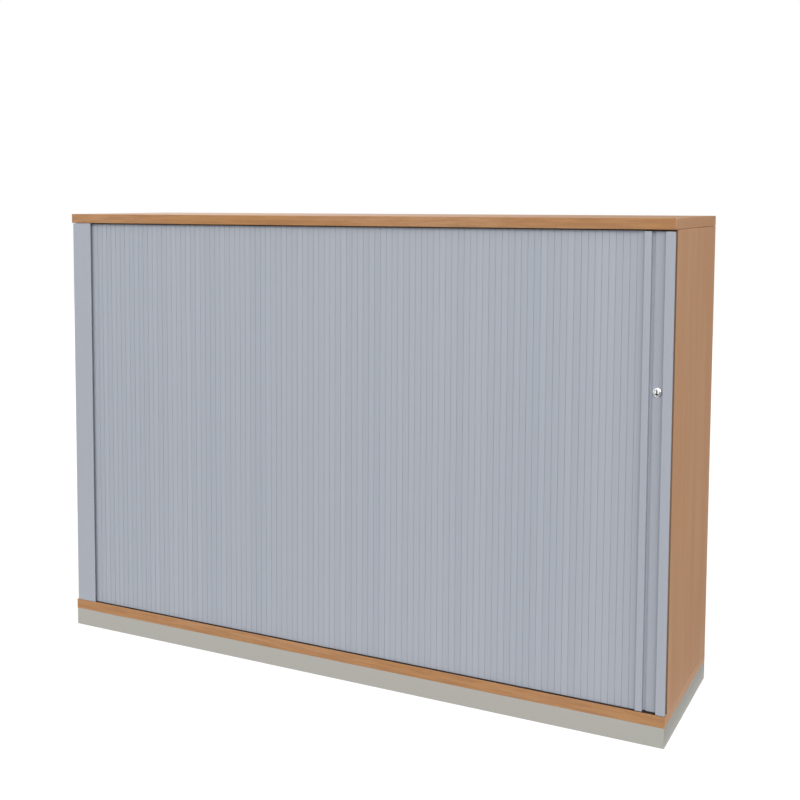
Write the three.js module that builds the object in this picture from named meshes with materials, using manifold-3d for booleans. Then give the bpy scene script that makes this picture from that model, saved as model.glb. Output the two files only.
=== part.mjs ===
// Side-opening tambour cabinet, three files high. Millimetres, X along the front, Y to the back, Z up.
// The origin is on the floor under the middle of the cabinet.
import * as THREE from "three";
import { mergeVertices } from "three/addons/utils/BufferGeometryUtils.js";
import Module from "manifold-3d";

const wasm = await Module();
wasm.setup();

// Overall size
const width = 1600;
const depth = 440;
const height = 1135;

// Boards
const topThickness = 24;
const baseThickness = 25;
const sideThickness = 19;
const backThickness = 16;
const dividerThickness = 19;
const innerSideThickness = 16;
const innerBackThickness = 8;
const shelfThickness = 22;
const arris = 1;
const baseArris = 0.4;
const leftOverhang = 4;
const shelfSetback = 45;
const shelfSideGap = 1;
const sideStorageGap = 16;
const backStorageGap = 24;
const cornerRelief = 4;
const shelvesPerBay = 2;

// Plinth of folded steel rails
const plinthHeight = 45;
const plinthWall = 2;
const plinthFlange = 22;
const plinthBend = 1.5;
const bracketLeg = 42;
const bracketWall = 3;

// Front profiles
const frontSetback = 10;
const postWidth = 58;
const postWall = 2.5;
const postFlangeDepth = 3;
const postEdgeRadius = 1.5;
const postEndGap = 1;
const edgeStripWall = 3;
const edgeStripLip = 1.2;
const edgeStripCorner = 3;
const edgeStripFootGap = 1.5;
const edgeStripHeadGap = 4;
const shadowGrooveDepth = 8;
const shadowGrooveInBoard = 10;

// Curtain slats
const slatPitch = 15;
const slatThickness = 5.5;
const slatJointWidth = 1.4;
const slatJointDepth = 1.2;
const slatWeb = 0.8;
const slatBackGap = 3;
const midGrooveWidth = 1;
const midGrooveDepth = 0.4;
const curtainTopGap = 2;
const tailSlats = 7;

// Tracks routed into the top and base panels, each with a plastic liner that has a lip at the front
const grooveWidth = 10;
const grooveDepth = 10;
const linerWall = 0.8;
const linerFloor = 1;
const lipSetback = 3;
const bottomLip = 1.5;
const topLip = 2.4;
const bendRadius = 31;
const runOffset = 8;
const trackEndGap = 2;
const trackSpare = 20;

// Lead stile, from the grip on its left to the lock strip on its right
const closingGap = 2;
const gripWidth = 15.5;
const gripSetback = 1;
const gripRadius = 1.8;
const fingerGrooveWidth = 6.5;
const fingerGrooveDepth = 1;
const lockStripWidth = 22;
const stileThickness = 7;
const stileWall = 2;
const stileFootGap = 2.6;
const stileHeadGap = 3.6;
const openingGap = 2;
const glideInset = 3;
const glidePlugLength = 18;
const glideLap = 0.5;
const bufferRadius = 3;
const bufferInset = 120;

// Lock
const lockHeight = 767;
const lockInset = 12.2;
const rosetteRadius = 10.6;
const rosetteThickness = 3.2;
const rosetteRim = 1.1;
const rosetteDomeSteps = 5;
const barrelRadius = 7.5;
const barrelLength = 20;
const plugRadius = 6.2;
const plugProud = 0.5;
const keySlotWidth = 2.4;
const keySlotHeight = 10;
const keySlotDepth = 8;
const camThickness = 2.5;
const camHubRadius = 7;
const camArmHalf = 4.5;
const hookBite = 10.5;
const hookSlack = 3.5;
const hookLeadAngle = THREE.MathUtils.degToRad(26);
const tangSide = 5;
const camScrewRadius = 4.2;
const camScrewHead = 2;

// Strike plate and the pocket behind it
const strikeThickness = 1.5;
const strikeMargin = 8;
const strikeGap = 1.5;
const camSideGap = 2;

// Cam fittings that pull the side panels to the top and the base
const fittingRadius = 7.5;
const fittingLength = 12.5;
const fittingEdge = 34;
const fittingInset = 60;
const fittingSlotLength = 9;
const fittingSlotWidth = 1.8;
const fittingSlotDepth = 2;

// Shelf pins and their rows of holes
const pinPegRadius = 2.5;
const pinPegLength = 8;
const pinHoleDepth = 9.5;
const pinTongue = 14;
const pinTongueThickness = 2;
const pinLeg = 10;
const pinWidth = 9;
const pinEdgeInset = 37;
const pinHoleStep = 32;
const pinHolesAtShelf = 3;

// Clearances
const seatGap = 0.3;
const overrun = 2;

// Facets
const roundSteps = 20;
const pegSteps = 10;
const bendSteps = 4;

// Places worked out from the sizes
const front = -depth / 2;
const rear = depth / 2;
const leftEnd = -width / 2;
const rightEnd = width / 2;
const baseTop = plinthHeight + baseThickness;
const topUnderside = height - topThickness;
const leftOuter = leftEnd + leftOverhang;
const leftInner = leftOuter + sideThickness;
const rightInner = rightEnd - sideThickness;
const panelFront = front + frontSetback;
const backFront = rear - backThickness;
const innerLeft = leftInner + sideStorageGap;
const bayLeft = innerLeft + innerSideThickness;
const innerBackRear = backFront - backStorageGap;
const innerBackFront = innerBackRear - innerBackThickness;
const shelfFront = front + shelfSetback;
const dividerLeft = (bayLeft + rightInner - dividerThickness) / 2;
const dividerRight = dividerLeft + dividerThickness;
const compartmentHeight =
  (topUnderside - baseTop - shelvesPerBay * shelfThickness) / (shelvesPerBay + 1);

const runY = panelFront + slatThickness / 2;
const runX = leftInner + runOffset;
const bendX = runX + bendRadius;
const bendY = runY + bendRadius;
const rearRunY = backFront - runOffset;
const rearBendY = rearRunY - bendRadius;
const hingeDepth = slatJointDepth + slatWeb / 2;
const hingeY = panelFront + hingeDepth;
const hingeRadius = bendY - hingeY;

const stileRight = rightInner - closingGap;
const lockStripLeft = stileRight - lockStripWidth;
const gripRight = lockStripLeft - fingerGrooveWidth;
const stileLeft = gripRight - gripWidth;
const gripFront = front + gripSetback;
const stileBack = panelFront + stileThickness;
const postRight = leftOuter + postWidth;
const curtainStart = stileLeft - seatGap;
const frontSlats = Math.floor((curtainStart - bendX) / slatPitch);
const frontRunEnd = curtainStart - frontSlats * slatPitch;
const travel = stileLeft - frontRunEnd - openingGap;
const trackFrontEnd = rightInner - trackEndGap;

const quarterTurn = Math.PI / 2;
const curtainLength = (frontSlats + tailSlats) * slatPitch;
const runBeforeRear = curtainStart - bendX + bendRadius * Math.PI + rearBendY - bendY;
const trackRearEnd = bendX + curtainLength + travel - runBeforeRear + trackSpare;

const lockX = stileRight - lockInset;
const camFront = barrelLength + seatGap + seatGap;
const camBack = camFront + camThickness;
const plateReach = rightInner - lockX;
const camReach = plateReach + hookBite;
const hookInnerRadius = plateReach + strikeThickness + hookSlack;

// Materials, coloured and finished as the object is
const beech = new THREE.MeshStandardMaterial({ color: 0xb18460, roughness: 0.55, metalness: 0 });
const silver = new THREE.MeshStandardMaterial({ color: 0xabafb8, roughness: 0.45, metalness: 0.3 });
const slatPlastic = new THREE.MeshStandardMaterial({ color: 0xa4a9b2, roughness: 0.5, metalness: 0 });
const plinthSteel = new THREE.MeshStandardMaterial({ color: 0xafafa8, roughness: 0.5, metalness: 0.2 });
const darkPlastic = new THREE.MeshStandardMaterial({ color: 0x2e2c2b, roughness: 0.6, metalness: 0 });
const chrome = new THREE.MeshStandardMaterial({ color: 0xd8dadd, roughness: 0.15, metalness: 1 });
const zincSteel = new THREE.MeshStandardMaterial({ color: 0xb9bcc0, roughness: 0.35, metalness: 0.9 });

// A closed three.js geometry as a solid that can be cut and joined
function solidOf(geometry) {
  const bare = geometry.clone();
  bare.deleteAttribute("normal");
  bare.deleteAttribute("uv");
  const merged = mergeVertices(bare);
  const vertProperties = merged.attributes.position.array;
  const triVerts = new Uint32Array(merged.index.array);
  return new wasm.Manifold(new wasm.Mesh({ numProp: 3, vertProperties, triVerts }));
}

// A solid as a three.js geometry again
function geometryOf(solid) {
  const mesh = solid.getMesh();
  const geometry = new THREE.BufferGeometry();
  geometry.setAttribute("position", new THREE.BufferAttribute(mesh.vertProperties, mesh.numProp));
  geometry.setIndex(new THREE.BufferAttribute(mesh.triVerts, 1));
  const flat = geometry.toNonIndexed();
  flat.computeVertexNormals();
  return flat;
}

function cutAway(geometry, tools) {
  return geometryOf(tools.reduce((solid, tool) => solid.subtract(solidOf(tool)), solidOf(geometry)));
}

function joined(geometry, others) {
  return geometryOf(others.reduce((solid, other) => solid.add(solidOf(other)), solidOf(geometry)));
}

function common(geometry, other) {
  return geometryOf(solidOf(geometry).intersect(solidOf(other)));
}

// A box between two corners
function block(low, high) {
  const from = new THREE.Vector3(...low);
  const to = new THREE.Vector3(...high);
  const size = to.clone().sub(from);
  const middle = from.add(to).divideScalar(2);
  return new THREE.BoxGeometry(size.x, size.y, size.z).translate(middle.x, middle.y, middle.z);
}

function outline(points) {
  return new THREE.Shape(points.map(([x, y]) => new THREE.Vector2(x, y)));
}

// A plan outline stood up between two heights
function upright(shape, low, high, curveSegments = bendSteps) {
  const settings = { depth: high - low, bevelEnabled: false, curveSegments };
  return new THREE.ExtrudeGeometry(shape, settings).translate(0, 0, low);
}

// A round bar along X
function barAlongX(radius, from, to, steps) {
  const bar = new THREE.CylinderGeometry(radius, radius, to - from, steps);
  return bar.rotateZ(quarterTurn).translate((from + to) / 2, 0, 0);
}

function piece(name, geometry, material) {
  const mesh = new THREE.Mesh(geometry, material);
  mesh.name = name;
  return mesh;
}

// A board whose arrises are all eased by the same small amount
function easedBoard(low, high, ease) {
  const plan = outline([
    [leftEnd + ease, front + ease],
    [rightEnd - ease, front + ease],
    [rightEnd - ease, rear - ease],
    [leftEnd + ease, rear - ease],
  ]);
  const settings = {
    depth: high - low - ease - ease,
    bevelThickness: ease,
    bevelSize: ease,
    bevelSegments: 1,
  };
  return new THREE.ExtrudeGeometry(plan, settings).translate(0, 0, low + ease);
}

// The plan of the track: along the front, round the bend, down the side, round again and along the back.
// Inset draws the same track narrower and shorter, for the liner and its channel.
function trackPlan(inset) {
  const half = grooveWidth / 2 - inset;
  const outer = bendRadius + half;
  const inner = bendRadius - half;
  const frontEnd = trackFrontEnd - inset;
  const rearEnd = trackRearEnd - inset;
  const plan = new THREE.Shape();
  plan.moveTo(frontEnd, runY - half);
  plan.lineTo(bendX, runY - half);
  plan.absarc(bendX, bendY, outer, -quarterTurn, -Math.PI, true);
  plan.lineTo(runX - half, rearBendY);
  plan.absarc(bendX, rearBendY, outer, Math.PI, quarterTurn, true);
  plan.lineTo(rearEnd, rearRunY + half);
  plan.lineTo(rearEnd, rearRunY - half);
  plan.lineTo(bendX, rearRunY - half);
  plan.absarc(bendX, rearBendY, inner, quarterTurn, Math.PI, false);
  plan.lineTo(runX + half, bendY);
  plan.absarc(bendX, bendY, inner, -Math.PI, -quarterTurn, false);
  plan.lineTo(frontEnd, runY + half);
  plan.closePath();
  return plan;
}

function topPanel() {
  const groove = upright(trackPlan(0), topUnderside - overrun, topUnderside + grooveDepth);
  return piece("top_panel", cutAway(easedBoard(topUnderside, height, arris), [groove]), beech);
}

function basePanel() {
  const groove = upright(trackPlan(0), baseTop - grooveDepth, baseTop + overrun);
  return piece("base_panel", cutAway(easedBoard(plinthHeight, baseTop, baseArris), [groove]), beech);
}

// The front lip of a liner: a flat on the panel's face, and a riser that roots it in the liner's wall.
// The flat and the riser share the lip's outer height; the riser starts at a height in the liner.
function lipParts(panelFace, outer, root) {
  const wallFront = runY - grooveWidth / 2 + seatGap;
  const wallBack = wallFront + linerWall;
  const lipLeft = postRight + seatGap;
  return [
    block(
      [lipLeft, front + lipSetback, Math.min(panelFace, outer)],
      [rightEnd - arris, wallBack, Math.max(panelFace, outer)],
    ),
    block(
      [lipLeft, wallFront, Math.min(root, outer)],
      [trackFrontEnd - seatGap, wallBack, Math.max(root, outer)],
    ),
  ];
}

function trackLiners() {
  const plan = trackPlan(seatGap);
  const channel = trackPlan(seatGap + linerWall);
  const bottomLow = baseTop - grooveDepth;
  const topHigh = topUnderside + grooveDepth;
  const bottomChannel = upright(channel, bottomLow + linerFloor, baseTop + overrun);
  const topChannel = upright(channel, topUnderside - overrun, topHigh - linerFloor);
  const bottomLiner = cutAway(upright(plan, bottomLow, baseTop), [bottomChannel]);
  const topLiner = cutAway(upright(plan, topUnderside, topHigh), [topChannel]);
  const bottomParts = lipParts(baseTop, baseTop + bottomLip, bottomLow);
  const topParts = lipParts(topUnderside, topUnderside - topLip, topHigh);
  return [
    piece("bottom_track", joined(bottomLiner, bottomParts), darkPlastic),
    piece("top_track", joined(topLiner, topParts), darkPlastic),
  ];
}

// Heights of the shelves' undersides, from the lowest up
function shelfHeights() {
  const heights = [];
  for (let level = 1; level <= shelvesPerBay; level++) {
    heights.push(baseTop + level * compartmentHeight + (level - 1) * shelfThickness);
  }
  return heights;
}

const pinRows = [shelfFront + pinEdgeInset, innerBackFront - pinEdgeInset];
const pinAxisDrop = pinLeg / 2;

// Bars that drill the rows of pin holes between two places along X
function pinHoles(from, to) {
  const holes = [];
  for (const underside of shelfHeights()) {
    for (const row of pinRows) {
      for (let hole = 0; hole < pinHolesAtShelf; hole++) {
        const rise = (hole - (pinHolesAtShelf - 1) / 2) * pinHoleStep;
        const bar = barAlongX(pinPegRadius + seatGap, from, to, pegSteps);
        holes.push(bar.translate(0, row, underside - pinAxisDrop + rise));
      }
    }
  }
  return holes;
}

// Each cam fitting by its name and place: on the inner face of a side panel, near a corner of it
function fittingPlaces() {
  const places = [];
  for (const [side, x, turn] of [
    ["left", leftInner, Math.PI],
    ["right", rightInner, 0],
  ]) {
    for (const [end, z] of [
      ["bottom", baseTop + fittingEdge],
      ["top", topUnderside - fittingEdge],
    ]) {
      for (const [row, y] of [
        ["front", panelFront + fittingInset],
        ["rear", backFront - fittingInset],
      ]) {
        places.push({ name: `cam_fitting_${side}_${end}_${row}`, side, x, y, z, turn });
      }
    }
  }
  return places;
}

function fittingHoles(side, from, to) {
  const places = fittingPlaces().filter((place) => place.side === side);
  return places.map(({ y, z }) => {
    const hole = barAlongX(fittingRadius + seatGap, from, to, roundSteps);
    return hole.translate(0, y, z);
  });
}

// The disc's face is at X = 0, with a cross slot in it, and its body runs along X into the board
function camFittings() {
  const halfLength = fittingSlotLength / 2;
  const halfWidth = fittingSlotWidth / 2;
  const disc = cutAway(barAlongX(fittingRadius, 0, fittingLength, roundSteps), [
    block([-overrun, -halfLength, -halfWidth], [fittingSlotDepth, halfLength, halfWidth]),
    block([-overrun, -halfWidth, -halfLength], [fittingSlotDepth, halfWidth, halfLength]),
  ]);
  return fittingPlaces().map(({ name, x, y, z, turn }) => {
    const fitting = piece(name, disc, zincSteel);
    fitting.position.set(x, y, z);
    fitting.rotation.z = turn;
    return fitting;
  });
}

function leftSidePanel() {
  const board = block([leftOuter, panelFront, baseTop], [leftInner, rear, topUnderside]);
  const holes = fittingHoles("left", leftInner - fittingLength - seatGap, leftInner + overrun);
  return piece("left_side_panel", cutAway(board, holes), beech);
}

// Heights and depths of the strike's slot, measured from the lock's axis and the lock strip's face
const slotLow = -Math.sqrt(camReach ** 2 - plateReach ** 2) - strikeGap;
const slotHigh = camArmHalf + strikeGap;
const pocketHigh = camReach * Math.sin(hookLeadAngle) + strikeGap;
const slotFront = panelFront + camFront - camSideGap;
const slotBack = panelFront + camBack + camSideGap;

// The flat outline of the strike plate, grown by a gap for its seat in the board
function strikeBlock(gap, from, to) {
  const low = [from, slotFront - strikeMargin - gap, lockHeight + slotLow - strikeMargin - gap];
  const high = [to, slotBack + strikeMargin + gap, lockHeight + pocketHigh + strikeMargin + gap];
  return block(low, high);
}

function rightSidePanel() {
  const board = block([rightInner, panelFront, baseTop], [rightEnd, rear, topUnderside]);
  const plateSeat = strikeBlock(seatGap, rightInner - overrun, rightInner + strikeThickness);
  const pocket = block(
    [rightInner, slotFront, lockHeight + slotLow],
    [rightInner + hookBite + strikeGap, slotBack, lockHeight + pocketHigh],
  );
  const shadowGroove = block(
    [rightEnd - shadowGrooveDepth, panelFront - overrun, baseTop - overrun],
    [rightEnd + overrun, panelFront + shadowGrooveInBoard, topUnderside + overrun],
  );
  const holes = pinHoles(rightInner - overrun, rightInner + pinHoleDepth);
  holes.push(...fittingHoles("right", rightInner - overrun, rightInner + fittingLength + seatGap));
  return piece("right_side_panel", cutAway(board, [plateSeat, pocket, shadowGroove, ...holes]), beech);
}

function strikePlate() {
  const plate = strikeBlock(0, rightInner, rightInner + strikeThickness);
  const slot = block(
    [rightInner - overrun, slotFront, lockHeight + slotLow],
    [rightInner + strikeThickness + overrun, slotBack, lockHeight + slotHigh],
  );
  return piece("strike_plate", cutAway(plate, [slot]), zincSteel);
}

function backPanel() {
  const board = block([leftInner, backFront, baseTop], [rightInner, rear, topUnderside]);
  return piece("back_panel", board, beech);
}

function innerSidePanel() {
  const board = block([innerLeft, shelfFront, baseTop], [bayLeft, innerBackFront, topUnderside]);
  const holes = pinHoles(bayLeft - pinHoleDepth, bayLeft + overrun);
  return piece("inner_side_panel", cutAway(board, holes), beech);
}

function innerBackPanel() {
  const low = [innerLeft + cornerRelief, innerBackFront, baseTop];
  return piece("inner_back_panel", block(low, [rightInner, innerBackRear, topUnderside]), beech);
}

function centreDivider() {
  const board = block([dividerLeft, shelfFront, baseTop], [dividerRight, innerBackFront, topUnderside]);
  const holes = pinHoles(dividerLeft - overrun, dividerRight + overrun);
  return piece("centre_divider", cutAway(board, holes), beech);
}

// Each bay by its name and the two faces that its shelves hang between
const bays = [
  { name: "left", from: bayLeft, to: dividerLeft },
  { name: "right", from: dividerRight, to: rightInner },
];

function levelName(level) {
  return ["lower", "upper", "third", "fourth"][level] ?? `level_${level + 1}`;
}

// A shelf along X, centred on all three axes, with its two front arrises eased
function shelfGeometry(length, across) {
  const edge = across / 2;
  const face = shelfThickness / 2;
  const section = outline([
    [-edge, arris - face],
    [arris - edge, -face],
    [edge, -face],
    [edge, face],
    [arris - edge, face],
    [-edge, face - arris],
  ]);
  const bar = new THREE.ExtrudeGeometry(section, { depth: length, bevelEnabled: false });
  return bar.rotateX(quarterTurn).rotateZ(quarterTurn).translate(-length / 2, 0, 0);
}

function shelves() {
  const made = [];
  for (const bay of bays) {
    const length = bay.to - bay.from - shelfSideGap - shelfSideGap;
    const across = innerBackFront - shelfFront - shelfSideGap;
    const board = shelfGeometry(length, across);
    shelfHeights().forEach((underside, level) => {
      const shelf = piece(`${bay.name}_${levelName(level)}_shelf`, board, beech);
      shelf.position.set((bay.from + bay.to) / 2, shelfFront + across / 2, underside + shelfThickness / 2);
      made.push(shelf);
    });
  }
  return made;
}

// A shelf pin: a peg for the hole, a leg against the board and a tongue under the shelf.
// The wall is at X = 0, the shelf's underside at Z = 0, and the tongue points along X.
function shelfPinGeometry() {
  const angle = outline([
    [0, 0],
    [0, -pinLeg],
    [pinTongueThickness, -pinLeg],
    [pinTongueThickness, -pinTongueThickness],
    [pinTongue, -pinTongueThickness],
    [pinTongue, 0],
  ]);
  const settings = { depth: pinWidth, bevelEnabled: false };
  const leg = new THREE.ExtrudeGeometry(angle, settings).rotateX(quarterTurn).translate(0, pinWidth / 2, 0);
  const peg = barAlongX(pinPegRadius, -pinPegLength, pinTongueThickness / 2, pegSteps);
  return joined(leg, [peg.translate(0, 0, -pinAxisDrop)]);
}

function shelfPins() {
  const made = [];
  const geometry = shelfPinGeometry();
  for (const bay of bays) {
    shelfHeights().forEach((underside, level) => {
      for (const [end, wall, turn] of [
        ["left", bay.from, 0],
        ["right", bay.to, Math.PI],
      ]) {
        pinRows.forEach((row, place) => {
          const depthName = ["front", "rear"][place];
          const name = `${bay.name}_bay_${levelName(level)}_pin_${end}_${depthName}`;
          const pin = piece(name, geometry, zincSteel);
          pin.position.set(wall, row, underside);
          pin.rotation.z = turn;
          made.push(pin);
        });
      }
    });
  }
  return made;
}

// The wide post that hides the curtain's bend, a channel with a foot on the side panel's front edge
function leftPost() {
  const turn = postEdgeRadius;
  const plan = new THREE.Shape();
  plan.moveTo(leftOuter, front + turn);
  plan.absarc(leftOuter + turn, front + turn, turn, Math.PI, Math.PI + quarterTurn, false);
  plan.lineTo(postRight - turn, front);
  plan.absarc(postRight - turn, front + turn, turn, -quarterTurn, 0, false);
  plan.lineTo(postRight, front + postFlangeDepth);
  plan.lineTo(postRight - postWall, front + postFlangeDepth);
  plan.lineTo(postRight - postWall, front + postWall);
  plan.lineTo(leftOuter + postWall, front + postWall);
  plan.lineTo(leftOuter + postWall, panelFront - postWall);
  plan.lineTo(leftInner, panelFront - postWall);
  plan.lineTo(leftInner, panelFront);
  plan.lineTo(leftOuter, panelFront);
  plan.closePath();
  const profile = upright(plan, baseTop + postEndGap, topUnderside - postEndGap);
  return piece("left_post", profile, silver);
}

// The strip on the right side panel's front edge. Its plate laps the closing gap on one side and stands
// out over a dark groove on the other, where its corners are rounded.
function rightEdgeStrip() {
  const plateBack = front + edgeStripWall;
  const footRight = rightEnd - shadowGrooveDepth;
  const plan = outline([
    [rightInner - edgeStripLip, front],
    [rightEnd, front],
    [rightEnd, plateBack],
    [footRight, plateBack],
    [footRight, panelFront],
    [rightInner, panelFront],
    [rightInner, plateBack],
    [rightInner - edgeStripLip, plateBack],
  ]);
  const low = baseTop + edgeStripFootGap;
  const high = topUnderside - edgeStripHeadGap;
  const corner = edgeStripCorner;
  const cornerX = rightEnd - corner;
  const face = new THREE.Shape();
  face.moveTo(rightInner - edgeStripLip - overrun, low);
  face.lineTo(cornerX, low);
  face.absarc(cornerX, low + corner, corner, -quarterTurn, 0, false);
  face.lineTo(rightEnd, high - corner);
  face.absarc(cornerX, high - corner, corner, 0, quarterTurn, false);
  face.lineTo(rightInner - edgeStripLip - overrun, high);
  face.closePath();
  const through = upright(face, front - overrun, panelFront + overrun);
  through.rotateX(quarterTurn).translate(0, front + panelFront, 0);
  const profile = common(upright(plan, low - overrun, high + overrun), through);
  return piece("right_edge_strip", profile, silver);
}

// A plinth rail of folded channel, open to the inside, with mitred ends. Its outer face is at Y = 0.
function plinthRailGeometry(length) {
  const bend = plinthBend;
  const innerTop = plinthHeight - plinthWall;
  const channel = new THREE.Shape();
  channel.moveTo(bend, 0);
  channel.lineTo(plinthFlange, 0);
  channel.lineTo(plinthFlange, plinthWall);
  channel.lineTo(plinthWall, plinthWall);
  channel.lineTo(plinthWall, innerTop);
  channel.lineTo(plinthFlange, innerTop);
  channel.lineTo(plinthFlange, plinthHeight);
  channel.lineTo(bend, plinthHeight);
  channel.absarc(bend, plinthHeight - bend, bend, quarterTurn, Math.PI, false);
  channel.lineTo(0, bend);
  channel.absarc(bend, bend, bend, Math.PI, Math.PI + quarterTurn, false);
  channel.closePath();
  const settings = { depth: length, bevelEnabled: false, curveSegments: bendSteps };
  const bar = new THREE.ExtrudeGeometry(channel, settings).rotateX(quarterTurn).rotateZ(quarterTurn);
  return common(bar, upright(mitredPlan(length), -overrun, plinthHeight + overrun));
}

// The plan of a rail with mitred ends, whose outer corners are rounded up to the mitre
function mitredPlan(length) {
  const bend = plinthBend;
  const eighthTurn = quarterTurn / 2;
  const reach = plinthFlange + overrun;
  const plan = new THREE.Shape();
  plan.moveTo(reach + seatGap, reach);
  plan.absarc(seatGap + bend, bend, bend, -quarterTurn - eighthTurn, -quarterTurn, false);
  plan.absarc(length - seatGap - bend, bend, bend, -quarterTurn, -eighthTurn, false);
  plan.lineTo(length - reach - seatGap, reach);
  plan.closePath();
  return plan;
}

function plinthRails() {
  const long = plinthRailGeometry(width);
  const short = plinthRailGeometry(depth);
  const rails = [
    ["plinth_front_rail", long, leftEnd, front, 0],
    ["plinth_right_rail", short, rightEnd, front, quarterTurn],
    ["plinth_rear_rail", long, rightEnd, rear, Math.PI],
    ["plinth_left_rail", short, leftEnd, rear, -quarterTurn],
  ];
  return rails.map(([name, geometry, x, y, turn]) => {
    const rail = piece(name, geometry, plinthSteel);
    rail.position.set(x, y, 0);
    rail.rotation.z = turn;
    return rail;
  });
}

// Angle brackets that tie the rails together in the plinth's corners
function plinthBrackets() {
  const plan = outline([
    [0, 0],
    [bracketLeg, 0],
    [bracketLeg, bracketWall],
    [bracketWall, bracketWall],
    [bracketWall, bracketLeg],
    [0, bracketLeg],
  ]);
  const low = plinthWall + seatGap;
  const geometry = upright(plan, low, plinthHeight - low);
  const inset = plinthWall + seatGap;
  const corners = [
    ["front_left", leftEnd + inset, front + inset, 0],
    ["front_right", rightEnd - inset, front + inset, quarterTurn],
    ["rear_right", rightEnd - inset, rear - inset, Math.PI],
    ["rear_left", leftEnd + inset, rear - inset, -quarterTurn],
  ];
  return corners.map(([name, x, y, turn]) => {
    const bracket = piece(`plinth_bracket_${name}`, geometry, zincSteel);
    bracket.position.set(x, y, 0);
    bracket.rotation.z = turn;
    return bracket;
  });
}

// A point of the curtain's hinge line, which runs left from the stile, round the bend and along the side
function hingePoint(run) {
  const straight = curtainStart - bendX;
  if (run <= straight) {
    return new THREE.Vector2(curtainStart - run, hingeY);
  }
  const turn = Math.min((run - straight) / hingeRadius, quarterTurn);
  const past = Math.max(run - straight - hingeRadius * quarterTurn, 0);
  const x = bendX - hingeRadius * Math.sin(turn);
  return new THREE.Vector2(x, bendY - hingeRadius * Math.cos(turn) + past);
}

// Hinges one slat apart, measured straight across each slat as a stiff slat needs
function hingeLine(count) {
  const closingTries = 6;
  const hinges = [hingePoint(0)];
  let run = 0;
  for (let slat = 0; slat < count; slat++) {
    const last = hinges.at(-1);
    run += slatPitch;
    for (let closing = 0; closing < closingTries; closing++) {
      run += slatPitch - hingePoint(run).distanceTo(last);
    }
    hinges.push(hingePoint(run));
  }
  return hinges;
}

// A run of slats as one outline: faces with their grooves on the outside, tapered backs on the inside
function slatRun(hinges) {
  const joint = slatJointWidth / 2;
  const middle = slatPitch / 2;
  const groove = midGrooveWidth / 2;
  const back = slatBackGap / 2;
  const webBack = slatJointDepth + slatWeb;
  const face = [
    [joint, slatJointDepth],
    [joint, 0],
    [middle - groove, 0],
    [middle, midGrooveDepth],
    [middle + groove, 0],
    [slatPitch - joint, 0],
    [slatPitch - joint, slatJointDepth],
  ];
  const rearSide = [
    [joint, webBack],
    [back, slatThickness],
    [slatPitch - back, slatThickness],
    [slatPitch - joint, webBack],
  ];
  const outside = [];
  const inside = [];
  const last = hinges.length - 2;
  for (let slat = 0; slat <= last; slat++) {
    const from = hinges[slat];
    const along = hinges[slat + 1].clone().sub(from).normalize();
    const outward = new THREE.Vector2(-along.y, along.x);
    const place = ([u, v]) =>
      from.clone().addScaledVector(along, u).addScaledVector(outward, hingeDepth - v);
    if (slat === 0) {
      outside.push(place([seatGap / 2, slatJointDepth]));
      inside.push(place([seatGap / 2, webBack]));
    }
    outside.push(...face.map(place));
    inside.push(...rearSide.map(place));
    if (slat === last) {
      outside.push(place([slatPitch - seatGap / 2, slatJointDepth]));
      inside.push(place([slatPitch - seatGap / 2, webBack]));
    }
  }
  return new THREE.Shape([...outside, ...inside.reverse()]);
}

const curtainLow = baseTop - grooveDepth + linerFloor + seatGap;
const curtainHigh = topUnderside + grooveDepth - linerFloor - curtainTopGap;

// The curtain, in two lengths that meet at a hinge just before the bend
function curtain() {
  const hinges = hingeLine(frontSlats + tailSlats);
  const frontRun = slatRun(hinges.slice(0, frontSlats + 1));
  const tail = slatRun(hinges.slice(frontSlats));
  return [
    piece("tambour_curtain", upright(frontRun, curtainLow, curtainHigh), slatPlastic),
    piece("curtain_tail", upright(tail, curtainLow, curtainHigh), slatPlastic),
  ];
}

// The lead stile: a hollow grip, the shallow floor beside it and a lock strip open at the back
function leadStile() {
  const floor = panelFront + fingerGrooveDepth;
  const turn = gripRadius;
  const plan = new THREE.Shape();
  plan.moveTo(stileLeft, gripFront + turn);
  plan.absarc(stileLeft + turn, gripFront + turn, turn, Math.PI, Math.PI + quarterTurn, false);
  plan.lineTo(gripRight - turn, gripFront);
  plan.absarc(gripRight - turn, gripFront + turn, turn, -quarterTurn, 0, false);
  for (const [x, y] of [
    [gripRight, floor],
    [lockStripLeft, floor],
    [lockStripLeft, panelFront],
    [stileRight, panelFront],
    [stileRight, stileBack],
    [stileRight - stileWall, stileBack],
    [stileRight - stileWall, panelFront + stileWall],
    [lockStripLeft + stileWall, panelFront + stileWall],
    [lockStripLeft + stileWall, floor + stileWall],
    [gripRight, floor + stileWall],
    [gripRight, stileBack],
    [stileLeft, stileBack],
  ]) {
    plan.lineTo(x, y);
  }
  plan.closePath();
  plan.holes.push(
    outline([
      [stileLeft + stileWall, gripFront + stileWall],
      [stileLeft + stileWall, stileBack - stileWall],
      [gripRight - stileWall, stileBack - stileWall],
      [gripRight - stileWall, gripFront + stileWall],
    ]),
  );
  const profile = upright(plan, baseTop + stileFootGap, topUnderside - stileHeadGap);
  const hole = new THREE.CylinderGeometry(
    barrelRadius + seatGap,
    barrelRadius + seatGap,
    stileWall + overrun + overrun,
    roundSteps,
  );
  hole.translate(lockX, panelFront + stileWall / 2, lockHeight);
  return piece("lead_stile", cutAway(profile, [hole]), silver);
}

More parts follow.
